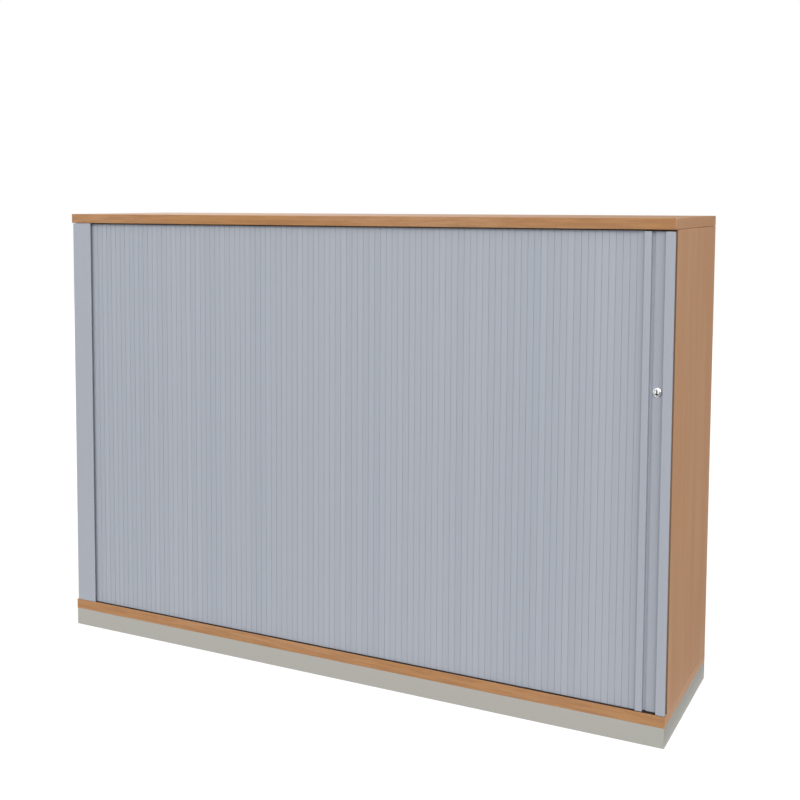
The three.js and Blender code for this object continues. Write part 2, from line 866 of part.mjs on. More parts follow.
// A glide: a foot that runs in the track and a plug that fills the end of the hollow grip.
// Side is 1 at the top of the stile and -1 at its bottom.
function glide(name, side) {
  const panelFace = side > 0 ? topUnderside : baseTop;
  const stileEnd = panelFace - side * (side > 0 ? stileHeadGap : stileFootGap);
  const footTip = panelFace + side * (grooveDepth - linerFloor - seatGap);
  const footRoot = stileEnd + side * seatGap;
  const plugRoot = footRoot + side * glideLap;
  const plugTip = stileEnd - side * glidePlugLength;
  const foot = block(
    [stileLeft + glideInset, panelFront + seatGap, Math.min(footTip, footRoot)],
    [stileRight - glideInset, panelFront + slatThickness, Math.max(footTip, footRoot)],
  );
  const plug = block(
    [stileLeft + stileWall + seatGap, gripFront + stileWall + seatGap, Math.min(plugRoot, plugTip)],
    [gripRight - stileWall - seatGap, stileBack - stileWall - seatGap, Math.max(plugRoot, plugTip)],
  );
  return piece(name, joined(foot, [plug]), darkPlastic);
}

// Soft stops on the right side panel that the stile closes against
function closingBuffers() {
  const reach = closingGap - seatGap;
  const dome = barAlongX(bufferRadius, -reach, 0, pegSteps);
  const places = [
    ["closing_buffer_bottom", baseTop + bufferInset],
    ["closing_buffer_top", topUnderside - bufferInset],
  ];
  return places.map(([name, z]) => {
    const buffer = piece(name, dome, darkPlastic);
    buffer.position.set(rightInner, panelFront + stileThickness / 2, z);
    return buffer;
  });
}

// The lock's pieces are drawn on its own axis: Z towards the room with Z = 0 on the lock strip's face.
// The domed rosette and the barrel behind it are one turned piece.
function rosetteAndBarrel() {
  const bore = plugRadius + seatGap;
  const dome = [];
  for (let step = 0; step <= rosetteDomeSteps; step++) {
    const turn = (quarterTurn * step) / rosetteDomeSteps;
    dome.push([
      bore + (rosetteRadius - bore) * Math.cos(turn),
      rosetteRim + (rosetteThickness - rosetteRim) * Math.sin(turn),
    ]);
  }
  const profile = outline([
    [bore, -barrelLength],
    [barrelRadius, -barrelLength],
    [barrelRadius, seatGap],
    [rosetteRadius, seatGap],
    ...dome,
    [bore, -barrelLength],
  ]);
  const turned = new THREE.LatheGeometry(profile.getPoints(), roundSteps).rotateX(quarterTurn);
  return piece("lock_rosette", turned, chrome);
}

function lockCylinder() {
  const high = rosetteThickness + plugProud;
  const low = -barrelLength - seatGap;
  const plug = new THREE.CylinderGeometry(plugRadius, plugRadius, high - low, roundSteps);
  plug.rotateX(quarterTurn).translate(0, 0, (high + low) / 2);
  const slot = block(
    [-keySlotWidth / 2, -keySlotHeight / 2, high - keySlotDepth],
    [keySlotWidth / 2, keySlotHeight / 2, high + overrun],
  );
  const half = tangSide / 2;
  const tang = block([-half, -half, -camBack], [half, half, low + keySlotDepth / 2]);
  return piece("lock_cylinder", joined(cutAway(plug, [slot]), [tang]), chrome);
}

// The swinging hook, drawn locked: arm along X, nib upwards. It hangs down while the door is unlocked.
function lockCam() {
  const armTop = Math.asin(camArmHalf / hookInnerRadius);
  const armEnd = Math.asin(camArmHalf / camReach);
  const hubJoin = Math.asin(camArmHalf / camHubRadius);
  const plan = new THREE.Shape();
  plan.absarc(0, 0, camHubRadius, hubJoin, 2 * Math.PI - hubJoin, false);
  plan.absarc(0, 0, camReach, -armEnd, hookLeadAngle, false);
  plan.absarc(0, 0, hookInnerRadius, hookLeadAngle, armTop, true);
  plan.closePath();
  const hole = tangSide / 2 + seatGap;
  plan.holes.push(
    outline([
      [-hole, -hole],
      [-hole, hole],
      [hole, hole],
      [hole, -hole],
    ]),
  );
  const plate = upright(plan, -camBack, -camFront, bendSteps + bendSteps);
  return piece("lock_cam", plate.rotateZ(-quarterTurn), zincSteel);
}

function camScrew() {
  const head = new THREE.CylinderGeometry(camScrewRadius, camScrewRadius, camScrewHead, pegSteps);
  head.rotateX(quarterTurn).translate(0, 0, -camBack - seatGap - camScrewHead / 2);
  return piece("lock_cam_screw", head, zincSteel);
}

function lock() {
  const group = new THREE.Group();
  group.add(rosetteAndBarrel(), lockCylinder(), lockCam(), camScrew());
  group.position.set(lockX, panelFront, lockHeight);
  group.rotation.x = quarterTurn;
  return group;
}

const carcass = new THREE.Group();
carcass.add(topPanel(), basePanel(), leftSidePanel(), rightSidePanel(), backPanel());
carcass.add(innerSidePanel(), innerBackPanel(), centreDivider(), ...shelves(), ...shelfPins());
carcass.add(leftPost(), rightEdgeStrip(), ...plinthRails(), ...plinthBrackets());
carcass.add(...trackLiners(), strikePlate(), ...closingBuffers(), ...camFittings());

const tambour = new THREE.Group();
tambour.add(...curtain(), leadStile(), glide("stile_glide_bottom", -1), glide("stile_glide_top", 1));
tambour.add(lock());

const cabinet = new THREE.Group();
cabinet.add(carcass, tambour);
export default cabinet;
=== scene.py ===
"""The looks of a side-opening tambour cabinet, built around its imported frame.

Metres, +X along the front to the lock, +Y to the back, +Z up.
"""

import math
import random

import bmesh
import bpy
from mathutils import Matrix, Vector


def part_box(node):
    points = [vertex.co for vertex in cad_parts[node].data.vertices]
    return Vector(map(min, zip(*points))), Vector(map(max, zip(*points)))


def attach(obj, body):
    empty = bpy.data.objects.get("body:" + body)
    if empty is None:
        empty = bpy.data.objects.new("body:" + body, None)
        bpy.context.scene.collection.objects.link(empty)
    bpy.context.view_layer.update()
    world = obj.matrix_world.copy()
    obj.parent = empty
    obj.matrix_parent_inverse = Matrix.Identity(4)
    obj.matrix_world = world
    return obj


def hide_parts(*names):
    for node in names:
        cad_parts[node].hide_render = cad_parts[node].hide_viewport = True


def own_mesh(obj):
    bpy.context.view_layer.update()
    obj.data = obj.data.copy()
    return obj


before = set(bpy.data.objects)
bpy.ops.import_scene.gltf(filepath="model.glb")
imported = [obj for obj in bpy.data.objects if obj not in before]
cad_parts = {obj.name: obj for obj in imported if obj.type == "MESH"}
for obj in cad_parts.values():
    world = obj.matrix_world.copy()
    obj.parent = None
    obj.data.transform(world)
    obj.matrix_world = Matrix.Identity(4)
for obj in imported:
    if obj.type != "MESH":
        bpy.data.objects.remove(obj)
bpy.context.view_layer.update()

# Camera, fitted to the cabinet's straight edges in the photograph
CAMERA_PLACE = (1.33524, -2.76928, 1.17218)
CAMERA_TURN = (math.radians(85.616), 0, math.radians(28.79))
CAMERA_LENS = 54.13
CAMERA_SENSOR = 36
CAMERA_SHIFT = (0.1132, -0.1345)

# Light levels, at which a colour renders about as it is written
WORLD_LEVEL = 0.62
FLOOR_LEVEL = 0.35
WHITE_LEVEL = 1.0
SUN_SPREAD = math.radians(50)
KEY_TURN = (math.radians(60), 0, math.radians(15))
KEY_LEVEL = 1.4
FILL_TURN = (math.radians(55), 0, math.radians(68))
FILL_LEVEL = 0.9

# Floor: a glow that is white with the light that its grey takes, so that a shadow shows
FLOOR_SIZE = 16
FLOOR_GLOW = 0.86
FLOOR_GREY = (0.25, 0.25, 0.25, 1)

# What shiny pieces mirror: white that falls off to dark on the right, and a dark band on the floor in front
FLANK_LEVEL = 0.17
FLOOR_FLANK = (0.792, 0.842)
FLOOR_BAND = -2.0
FLOOR_BAND_EDGE = (0.5, 0.9)
FLOOR_BAND_LEVEL = 0.1
WORLD_FLANK = (-0.35, 0.3)
WORLD_FLANK_TOWARDS = (0.94, 0.34, 0)

# Sockets of a Mix node that mixes colours
FIRST, SECOND, MIXED = 6, 7, 2

# Mesh repair and shading
MERGE_GAP = 0.00001
SLIVER_GAP = 0.000002
FLAT_ANGLE = math.radians(1)
SHARP_ANGLE = math.radians(40)
SMOOTH_ANGLE = math.radians(50)

# Boards
BOARD_EDGE = 0.001
BASE_EDGE = 0.0002
# Depth from the front within which cut faces take painted shade: the shadow groove's walls, dark brown
FRONT_RIM = 0.0105
HEAD_JOINT = 0.0005

# Edges of sheet steel, profiles and small parts
STEEL_EDGE = 0.0003
PROFILE_EDGE = 0.0005
SMALL_EDGE = 0.0002
EDGE_STEPS = 3
SMALL_STEPS = 2

# Curtain slats, with grooves about as strong as they look in the photograph
SLAT_PITCH = 0.015
SLAT_JOINT = 0.001
SLAT_JOINT_DEPTH = 0.001
SLAT_WEB = 0.0008
SLAT_BACK_GAP = 0.003
SLAT_SHOULDER = 0.0003
SHOULDER_STEPS = 3
MID_GROOVE = 0.0008
MID_GROOVE_DEPTH = 0.00012
TONE_SEED = 7

# Finger groove of the lead stile
GROOVE_DEPTH = 0.001
STILE_WALL = 0.002
GROOVE_SINK = 0.0025

# Lock
SEAT_GAP = 0.0003
LOCK_STEPS = 64
ROSETTE_RIM = 0.0011
ROSETTE_BORE_EASE = 0.0003
DOME_STEPS = 12
BARREL_WALL = 0.001
PLUG_EASE = 0.0002
CROWN_STEPS = 8
KEYWAY_WIDTH = 0.0026
KEYWAY_HEIGHT = 0.0114
KEYWAY_DEPTH = 0.006

# Screws of the strike plate and the cam
SCREW_RADIUS = 0.0029
SCREW_PROUD = 0.0004
SCREW_ROUND = 0.0003
SCREW_SHANK = 0.0012
SCREW_EDGE = 0.0042
CROSS_WIDTH = 0.0008
CROSS_LENGTH = 0.0034
CROSS_DEPTH = 0.0006


def linear(hex_colour):
    """An sRGB hex colour as the linear colour that a shader takes."""
    shares = [int(hex_colour[place : place + 2], 16) / 255 for place in (1, 3, 5)]
    return [s / 12.92 if s <= 0.04045 else ((s + 0.055) / 1.055) ** 2.4 for s in shares] + [1]


def add(tree, kind, inputs=None, **settings):
    """Adds a shader node with its settings.

    An input is a value to set, a socket to link or a node whose first output is linked.
    """
    made = tree.nodes.new("ShaderNode" + kind)
    for name, value in settings.items():
        setattr(made, name, value)
    for key, value in (inputs or {}).items():
        if isinstance(value, bpy.types.Node):
            value = value.outputs[0]
        if isinstance(value, bpy.types.NodeSocket):
            tree.links.new(value, made.inputs[key])
        else:
            made.inputs[key].default_value = value
    return made


def blank_material(name):
    """An empty material, its node tree and the tree's object coordinates."""
    material = bpy.data.materials.new(name)
    material.use_nodes = True
    tree = material.node_tree
    tree.nodes.clear()
    return material, tree, add(tree, "TexCoord").outputs["Object"]


def grain_scale(grain, stretch):
    """The scale of a mapping that draws a pattern out along the grain."""
    return [1 / stretch if axis == grain else 1 for axis in "XYZ"]


def beech_decor(name, grain, pale, warm, dark, fibre_size, fibre_stretch, fibre_share, fleck_share):
    """Beech-print melamine board: a printed sheet under clear resin, pressed with a fine satin texture.

    Broad soft bands and thin fibres run along the grain, with short darker ray flecks between them.
    """
    band_size, band_stretch = 0.045, 14
    # The fibres, the flecks and the pressed texture are too fine to show, so they are drawn coarser
    fleck_size, fleck_stretch = 0.0022, 7
    press_size, press_depth = 0.0012, 0.00002
    material, tree, place = blank_material(name)
    bands = add(tree, "Mapping", {"Vector": place, "Scale": grain_scale(grain, band_stretch)})
    bands = add(tree, "TexNoise", {"Vector": bands, "Scale": 1 / band_size, "Detail": 3})
    bands = add(tree, "MapRange", {
        "Value": bands, "From Min": 0.3, "From Max": 0.7,
    }, interpolation_type="SMOOTHSTEP")
    fibres = add(tree, "Mapping", {"Vector": place, "Scale": grain_scale(grain, fibre_stretch)})
    fibres = add(tree, "TexNoise", {
        "Vector": fibres, "Scale": 1 / fibre_size, "Detail": 4, "Roughness": 0.6,
    })
    fibres = add(tree, "MapRange", {
        "Value": fibres, "From Min": 0.3, "From Max": 0.72,
    }, interpolation_type="SMOOTHSTEP")
    fibres = add(tree, "MapRange", {
        "Value": fibres, "To Max": fibre_share,
    }, interpolation_type="SMOOTHSTEP")
    flecks = add(tree, "Mapping", {"Vector": place, "Scale": grain_scale(grain, fleck_stretch)})
    flecks = add(tree, "TexNoise", {"Vector": flecks, "Scale": 1 / fleck_size, "Detail": 1})
    flecks = add(tree, "MapRange", {
        "Value": flecks, "From Min": 0.6, "From Max": 0.72, "To Max": fleck_share,
    }, interpolation_type="SMOOTHSTEP")
    press = add(tree, "TexNoise", {"Vector": place, "Scale": 1 / press_size, "Detail": 1})
    colour = linear(pale)
    for share, tone in ((bands, warm), (fibres, dark), (flecks, dark)):
        mix = add(tree, "Mix", {"Factor": share, FIRST: colour, SECOND: linear(tone)}, data_type="RGBA")
        colour = mix.outputs[MIXED]
    shader = add(tree, "BsdfPrincipled", {
        "Base Color": colour,
        "Roughness": add(tree, "MapRange", {
            "Value": press, "From Min": 0.2, "From Max": 0.8, "To Min": 0.28, "To Max": 0.38,
        }, interpolation_type="SMOOTHSTEP"),
        "IOR": 1.5,
        "Normal": add(tree, "Bump", {"Height": press, "Distance": press_depth, "Strength": 0.5}),
    })
    add(tree, "OutputMaterial", {"Surface": shader})
    return material


def chipboard():
    """Raw chipboard in drilled holes and grooves: pressed wood chips, matt and mottled."""
    chip_size, chip_depth = 0.0025, 0.0002
    material, tree, place = blank_material("raw_chipboard")
    chips = add(tree, "TexVoronoi", {"Vector": place, "Scale": 1 / chip_size}).outputs["Color"]
    shade = add(tree, "SeparateColor", {"Color": chips})
    colour = add(tree, "Mix", {
        "Factor": shade, FIRST: linear("#8F6C48"), SECOND: linear("#C9A77C"),
    }, data_type="RGBA")
    shader = add(tree, "BsdfPrincipled", {
        "Base Color": colour.outputs[MIXED],
        "Roughness": 0.85,
        "Normal": add(tree, "Bump", {"Height": shade, "Distance": chip_depth, "Strength": 0.6}),
    })
    add(tree, "OutputMaterial", {"Surface": shader})
    return material


def silver_profile():
    """Extruded aluminium under silver powder coat: faint lines along its length, flakes in the lacquer."""
    # Lines and flakes are finer than this on real profiles, and drawn as coarse as they need to show
    line_size, line_stretch, line_depth = 0.0011, 300, 0.00001
    flake_size = 0.0009
    material, tree, place = blank_material("powder_coated_aluminium")
    lines = add(tree, "Mapping", {"Vector": place, "Scale": grain_scale("Z", line_stretch)})
    lines = add(tree, "TexNoise", {"Vector": lines, "Scale": 1 / line_size})
    flakes = add(tree, "TexNoise", {"Vector": place, "Scale": 1 / flake_size, "Detail": 1})
    flakes = add(tree, "MapRange", {
        "Value": flakes, "From Min": 0.3, "From Max": 0.7,
    }, interpolation_type="SMOOTHSTEP")
    colour = add(tree, "Mix", {
        "Factor": flakes, FIRST: linear("#A7ACB6"), SECOND: linear("#AEB2BC"),
    }, data_type="RGBA")
    shader = add(tree, "BsdfPrincipled", {
        "Base Color": colour.outputs[MIXED],
        "Roughness": add(tree, "MapRange", {
            "Value": lines, "From Min": 0.25, "From Max": 0.75, "To Min": 0.4, "To Max": 0.48,
        }, interpolation_type="SMOOTHSTEP"),
        "Normal": add(tree, "Bump", {"Height": lines, "Distance": line_depth, "Strength": 0.4}),
    })
    add(tree, "OutputMaterial", {"Surface": shader})
    return material


def slat_plastic():
    """Extruded polypropylene coloured silver: satin, with fine draw lines and slats that differ in tone."""
    # Real draw lines are finer, and drawn as coarse as they need to show
    line_size, line_stretch, line_depth = 0.0013, 400, 0.00002
    material, tree, place = blank_material("extruded_polypropylene")
    lines = add(tree, "Mapping", {"Vector": place, "Scale": grain_scale("Z", line_stretch)})
    lines = add(tree, "TexNoise", {"Vector": lines, "Scale": 1 / line_size})
    drawn = add(tree, "MapRange", {
        "Value": lines, "From Min": 0.35, "From Max": 0.65, "To Max": 0.12,
    }, interpolation_type="SMOOTHSTEP")
    tone = add(tree, "Attribute", attribute_name="slat_tone").outputs["Fac"]
    colour = add(tree, "Mix", {
        "Factor": tone, FIRST: linear("#A9AFB9"), SECOND: linear("#AFB3BD"),
    }, data_type="RGBA")
    colour = add(tree, "Mix", {
        "Factor": drawn, FIRST: colour.outputs[MIXED], SECOND: linear("#9EA3AE"),
    }, data_type="RGBA")
    shader = add(tree, "BsdfPrincipled", {
        "Base Color": colour.outputs[MIXED],
        "Roughness": add(tree, "MapRange", {
            "Value": lines, "From Min": 0.25, "From Max": 0.75, "To Min": 0.42, "To Max": 0.52,
        }, interpolation_type="SMOOTHSTEP"),
        "IOR": 1.49,
        "Normal": add(tree, "Bump", {"Height": lines, "Distance": line_depth, "Strength": 0.4}),
    })
    add(tree, "OutputMaterial", {"Surface": shader})
    return material


def plinth_paint():
    """Folded sheet steel under grey-beige powder coat: a fine orange-peel skin, satin."""
    peel_size, peel_depth = 0.0016, 0.00004
    cloud_size = 0.22
    material, tree, place = blank_material("powder_coated_steel")
    peel = add(tree, "TexNoise", {"Vector": place, "Scale": 1 / peel_size})
    clouds = add(tree, "TexNoise", {"Vector": place, "Scale": 1 / cloud_size})
    clouds = add(tree, "MapRange", {
        "Value": clouds, "From Min": 0.3, "From Max": 0.7,
    }, interpolation_type="SMOOTHSTEP")
    colour = add(tree, "Mix", {
        "Factor": clouds, FIRST: linear("#AFAEA7"), SECOND: linear("#B2AEA7"),
    }, data_type="RGBA")
    shader = add(tree, "BsdfPrincipled", {
        "Base Color": colour.outputs[MIXED],
        "Roughness": add(tree, "MapRange", {
            "Value": peel, "From Min": 0.25, "From Max": 0.75, "To Min": 0.42, "To Max": 0.5,
        }, interpolation_type="SMOOTHSTEP"),
        "IOR": 1.5,
        "Normal": add(tree, "Bump", {"Height": peel, "Distance": peel_depth, "Strength": 0.5}),
    })
    add(tree, "OutputMaterial", {"Surface": shader})
    return material


def dark_moulding():
    """Moulded black-brown polypropylene of tracks, glides and buffers: matt with a fine spark texture."""
    # Real spark texture is finer, and drawn as coarse as it needs to show
    spark_size, spark_depth = 0.0008, 0.00003
    material, tree, place = blank_material("moulded_polypropylene")
    spark = add(tree, "TexNoise", {"Vector": place, "Scale": 1 / spark_size})
    colour = add(tree, "Mix", {
        "Factor": spark, FIRST: linear("#2C211A"), SECOND: linear("#3A2C22"),
    }, data_type="RGBA")
    shader = add(tree, "BsdfPrincipled", {
        "Base Color": colour.outputs[MIXED],
        "Roughness": add(tree, "MapRange", {
            "Value": spark, "From Min": 0.25, "From Max": 0.75, "To Min": 0.65, "To Max": 0.8,
        }, interpolation_type="SMOOTHSTEP"),
        "Specular IOR Level": 0.25,
        "IOR": 1.49,
        "Normal": add(tree, "Bump", {"Height": spark, "Distance": spark_depth, "Strength": 0.5}),
    })
    add(tree, "OutputMaterial", {"Surface": shader})
    return material


def chrome_plate():
    """Polished chrome plate over zinc casting: mirror-like, with faint marks of polishing."""
    # Real marks are finer, and drawn as coarse as they need to show
    mark_size = 0.0004
    material, tree, place = blank_material("chrome_plate")
    marks = add(tree, "TexNoise", {"Vector": place, "Scale": 1 / mark_size})
    shader = add(tree, "BsdfPrincipled", {
        "Base Color": linear("#EEF0F1"),
        "Metallic": 1.0,
        "Roughness": add(tree, "MapRange", {
            "Value": marks, "From Min": 0.3, "From Max": 0.7, "To Min": 0.07, "To Max": 0.14,
        }, interpolation_type="SMOOTHSTEP"),
    })
    add(tree, "OutputMaterial", {"Surface": shader})
    return material


def zinc_plate():
    """Bright zinc-plated steel of pins, cams, brackets and the strike: satin metal with cloudy plating."""
    cloud_size = 0.006
    # Real scratches are finer, and drawn as coarse as they need to show
    scratch_size, scratch_stretch, scratch_depth = 0.0009, 20, 0.00001
    material, tree, place = blank_material("zinc_plated_steel")
    clouds = add(tree, "TexNoise", {"Vector": place, "Scale": 1 / cloud_size, "Detail": 3})
    scratches = add(tree, "Mapping", {"Vector": place, "Scale": grain_scale("X", scratch_stretch)})
    scratches = add(tree, "TexNoise", {"Vector": scratches, "Scale": 1 / scratch_size})
    colour = add(tree, "Mix", {
        "Factor": clouds, FIRST: linear("#B4B8BC"), SECOND: linear("#C6C8C8"),
    }, data_type="RGBA")
    shader = add(tree, "BsdfPrincipled", {
        "Base Color": colour.outputs[MIXED],
        "Metallic": 1.0,
        "Roughness": add(tree, "MapRange", {
            "Value": clouds, "From Min": 0.25, "From Max": 0.75, "To Min": 0.28, "To Max": 0.42,
        }, interpolation_type="SMOOTHSTEP"),
        "Normal": add(tree, "Bump", {"Height": scratches, "Distance": scratch_depth, "Strength": 0.4}),
    })
    add(tree, "OutputMaterial", {"Surface": shader})
    return material


def keyway_painted_shade():
    """The inside of the keyway: brass wafers with their shadow painted into the colour as near black."""
    wafer_size = 0.0012
    material, tree, place = blank_material("keyway_brass_painted_shade")
    wafers = add(tree, "TexNoise", {"Vector": place, "Scale": 1 / wafer_size, "Detail": 1})
    colour = add(tree, "Mix", {
        "Factor": wafers, FIRST: linear("#1C1813"), SECOND: linear("#302920"),
    }, data_type="RGBA")
    shader = add(tree, "BsdfPrincipled", {
        "Base Color": colour.outputs[MIXED],
        "Metallic": 1.0,
        "Roughness": 0.5,
    })
    add(tree, "OutputMaterial", {"Surface": shader})
    return material


def groove_painted_shade():
    """The shadow groove's walls: chipboard coloured dark brown as painted shade, matt, its pores still
    showing.
    """
    pore_size, pore_depth = 0.0015, 0.0001
    material, tree, place = blank_material("board_painted_groove_shade")
    pores = add(tree, "TexNoise", {"Vector": place, "Scale": 1 / pore_size})
    colour = add(tree, "Mix", {
        "Factor": pores, FIRST: linear("#7D604A"), SECOND: linear("#8C6D54"),
    }, data_type="RGBA")
    shader = add(tree, "BsdfPrincipled", {
        "Base Color": colour.outputs[MIXED],
        "Roughness": 0.7,
        "Normal": add(tree, "Bump", {"Height": pores, "Distance": pore_depth, "Strength": 0.5}),
    })
    add(tree, "OutputMaterial", {"Surface": shader})
    return material


BOARD_PRINT = {
    "pale": "#D2A37A", "warm": "#CD976B", "dark": "#B77C55",
    "fibre_size": 0.0035, "fibre_stretch": 45, "fibre_share": 0.16, "fleck_share": 0.22,
}
EDGING_PRINT = {
    "pale": "#B98B60", "warm": "#B27E4A", "dark": "#97663E",
    "fibre_size": 0.006, "fibre_stretch": 14, "fibre_share": 0.5, "fleck_share": 0.3,
}
beech = {
    "X": beech_decor("beech_melamine_long", "X", **BOARD_PRINT),
    "Z": beech_decor("beech_melamine_upright", "Z", **BOARD_PRINT),
}
edging = {
    "X": beech_decor("beech_edging_long", "X", **EDGING_PRINT),
    "Y": beech_decor("beech_edging_deep", "Y", **BOARD_PRINT),
    "Z": beech_decor("beech_edging_upright", "Z", **EDGING_PRINT),
}
raw_board = chipboard()
groove_shade_paint = groove_painted_shade()
silver = silver_profile()
slat = slat_plastic()
zinc = zinc_plate()
chrome = chrome_plate()
keyway = keyway_painted_shade()

# Finishes: material, slot, rounding of the edges and its steps
SILVER_FINISH = (silver, "silver_profile", PROFILE_EDGE, EDGE_STEPS)
PLINTH_FINISH = (plinth_paint(), "plinth_steel", STEEL_EDGE, EDGE_STEPS)
ZINC_FINISH = (zinc, "zinc_steel", SMALL_EDGE, SMALL_STEPS)
DARK_FINISH = (dark_moulding(), "dark_plastic", SMALL_EDGE, SMALL_STEPS)
SLAT_FINISH = (slat, "slat_plastic", SMALL_EDGE, SMALL_STEPS)


def whole_mesh(node):
    """A CAD node's loose triangles merged, with its flat faces whole again."""
    mesh = bmesh.new()
    mesh.from_mesh(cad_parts[node].data)
    bmesh.ops.remove_doubles(mesh, verts=mesh.verts, dist=MERGE_GAP)
    bmesh.ops.dissolve_limit(
        mesh, angle_limit=FLAT_ANGLE, verts=mesh.verts, edges=mesh.edges, delimit={"NORMAL"}
    )
    return mesh


def sharp_edges(mesh):
    return [edge for edge in mesh.edges if edge.is_manifold and edge.calc_face_angle() > SHARP_ANGLE]


def on_rim(edge, corners):
    """Whether an edge runs along one of the twelve edges of its piece's box."""
    sides = 0
    for axis in range(3):
        places = [vert.co[axis] for vert in edge.verts]
        sides += any(all(abs(place - corner[axis]) < MERGE_GAP for place in places) for corner in corners)
    return sides > 1


def round_edges(mesh, edges, radius, steps):
    """Rounds edges, and closes the slivers that are left where two roundings run together."""
    bmesh.ops.bevel(
        mesh,
        geom=edges,
        offset=radius,
        offset_type="OFFSET",
        segments=steps,
        profile=0.5,
        affect="EDGES",
        clamp_overlap=True,
        material=-1,
    )
    bmesh.ops.dissolve_degenerate(mesh, dist=SLIVER_GAP, edges=mesh.edges)


def place_piece(name, mesh, body, materials):
    """Makes an object of a bmesh, shaded smooth up to its sharp edges, that rides on a body."""
    data = bpy.data.meshes.new(name)
    mesh.to_mesh(data)
    mesh.free()
    for material in materials:
        data.materials.append(material)
    data.polygons.foreach_set("use_smooth", [True] * len(data.polygons))
    data.set_sharp_from_angle(angle=SMOOTH_ANGLE)
    made = bpy.data.objects.new(name, data)
    bpy.context.scene.collection.objects.link(made)
    weighted = made.modifiers.new("even_faces", "WEIGHTED_NORMAL")
    weighted.keep_sharp = True
    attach(made, body)
    return made


def eased_copy(node, body, finish):
    """A CAD node's shape with its edges rounded, in one finish."""
    material, slot, radius, steps = finish
    mesh = whole_mesh(node)
    round_edges(mesh, sharp_edges(mesh), radius, steps)
    made = place_piece(node + "_eased", mesh, body, [material])
    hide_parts(node)
    return made


def board(node, grain, edge=BOARD_EDGE, front_rim=0, head_joint=0):
    """A melamine board: printed faces, edging on its rims and raw chipboard where it is cut.

    Its outer edges and the edges of its cuts and drilled holes each have their own rounding. Cuts
    within the front rim's depth get painted shade, a dark brown. The head joint is the hairline over a
    side panel, drawn wide enough to show.
    """
    low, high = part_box(node)
    size = high - low
    thin = min(range(3), key=lambda axis: size[axis])
    mesh = whole_mesh(node)
    head = [vert for vert in mesh.verts if high.z - vert.co.z < MERGE_GAP]
    bmesh.ops.translate(mesh, verts=head, vec=(0, 0, -head_joint))
    high.z -= head_joint
    rims, cuts = [], []
    for found in sharp_edges(mesh):
        (rims if on_rim(found, (low, high)) else cuts).append(found)
    round_edges(mesh, rims, edge, EDGE_STEPS)
    round_edges(mesh, [found for found in cuts if found.is_valid], SMALL_EDGE, EDGE_STEPS)
    reach = 2 * BOARD_EDGE
    materials = [beech[grain], edging["X"], edging["Y"], edging["Z"], raw_board, groove_shade_paint]
    for face in mesh.faces:
        centre = face.calc_center_median()
        outside = [
            axis for axis in range(3) if min(centre[axis] - low[axis], high[axis] - centre[axis]) < reach
        ]
        across = max((axis for axis in range(3) if axis != thin), key=lambda axis: abs(face.normal[axis]))
        if thin in outside and abs(face.normal[thin]) > math.cos(SHARP_ANGLE):
            shown = beech[grain]
        elif any(axis != thin for axis in outside):
            shown = edging[next("XYZ"[axis] for axis in range(3) if axis not in (thin, across))]
        # Cut faces within the front rim: the shadow groove, painted dark brown as its shade
        elif centre.y - low.y < front_rim:
            shown = groove_shade_paint
        else:
            shown = raw_board
        face.material_index = materials.index(shown)
    made = place_piece(node + "_board", mesh, "carcass", materials)
    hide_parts(node)


def boards():
    board("top_panel", "X")
    board("base_panel", "X", edge=BASE_EDGE)
    board("right_side_panel", "Z", front_rim=FRONT_RIM, head_joint=HEAD_JOINT)
    board("left_side_panel", "Z", head_joint=HEAD_JOINT)
    for node in ("back_panel", "inner_side_panel", "inner_back_panel", "centre_divider"):
        board(node, "Z")
    for bay in ("left", "right"):
        for level in ("lower", "upper"):
            board(f"{bay}_{level}_shelf", "X")


def slat_corners(pitch, thickness):
    """One slat's section, as its shoulder corners and all its corners, from (0, 0) at its front left."""
    joint = SLAT_JOINT / 2
    middle = pitch / 2
    groove = MID_GROOVE / 2
    back = SLAT_BACK_GAP / 2
    web_back = SLAT_JOINT_DEPTH + SLAT_WEB
    shoulders = [(joint, 0), (pitch - joint, 0)]
    corners = [
        (0, SLAT_JOINT_DEPTH),
        (joint, SLAT_JOINT_DEPTH),
        shoulders[0],
        (middle - groove, 0),
        (middle, MID_GROOVE_DEPTH),
        (middle + groove, 0),
        shoulders[1],
        (pitch - joint, SLAT_JOINT_DEPTH),
        (pitch, SLAT_JOINT_DEPTH),
        (pitch, web_back),
        (pitch - joint, web_back),
        (pitch - back, thickness),
        (back, thickness),
        (joint, web_back),
        (0, web_back),
    ]
    return shoulders, corners


def slat_mesh(low, high, pitch):
    """One slat at the curtain's left end, open where its hinge webs meet its neighbours'."""
    shoulders, corners = slat_corners(pitch, high.y - low.y)
    mesh = bmesh.new()
    placed = {at: mesh.verts.new((low.x + at[0], low.y + at[1], low.z)) for at in corners}
    mesh.faces.new(placed.values())
    bmesh.ops.bevel(
        mesh,
        geom=[placed[at] for at in shoulders],
        offset=SLAT_SHOULDER,
        offset_type="OFFSET",
        segments=SHOULDER_STEPS,
        profile=0.5,
        affect="VERTICES",
        clamp_overlap=True,
        material=-1,
    )
    grown = bmesh.ops.extrude_face_region(mesh, geom=mesh.faces[:])
    raised = [item for item in grown["geom"] if isinstance(item, bmesh.types.BMVert)]
    bmesh.ops.translate(mesh, verts=raised, vec=(0, 0, high.z - low.z))
    ends = (low.x, low.x + pitch)
    webs = [
        face for face in mesh.faces
        if any(all(abs(vert.co.x - end) < MERGE_GAP for vert in face.verts) for end in ends)
    ]
    bmesh.ops.delete(mesh, geom=webs, context="FACES_ONLY")
    return mesh


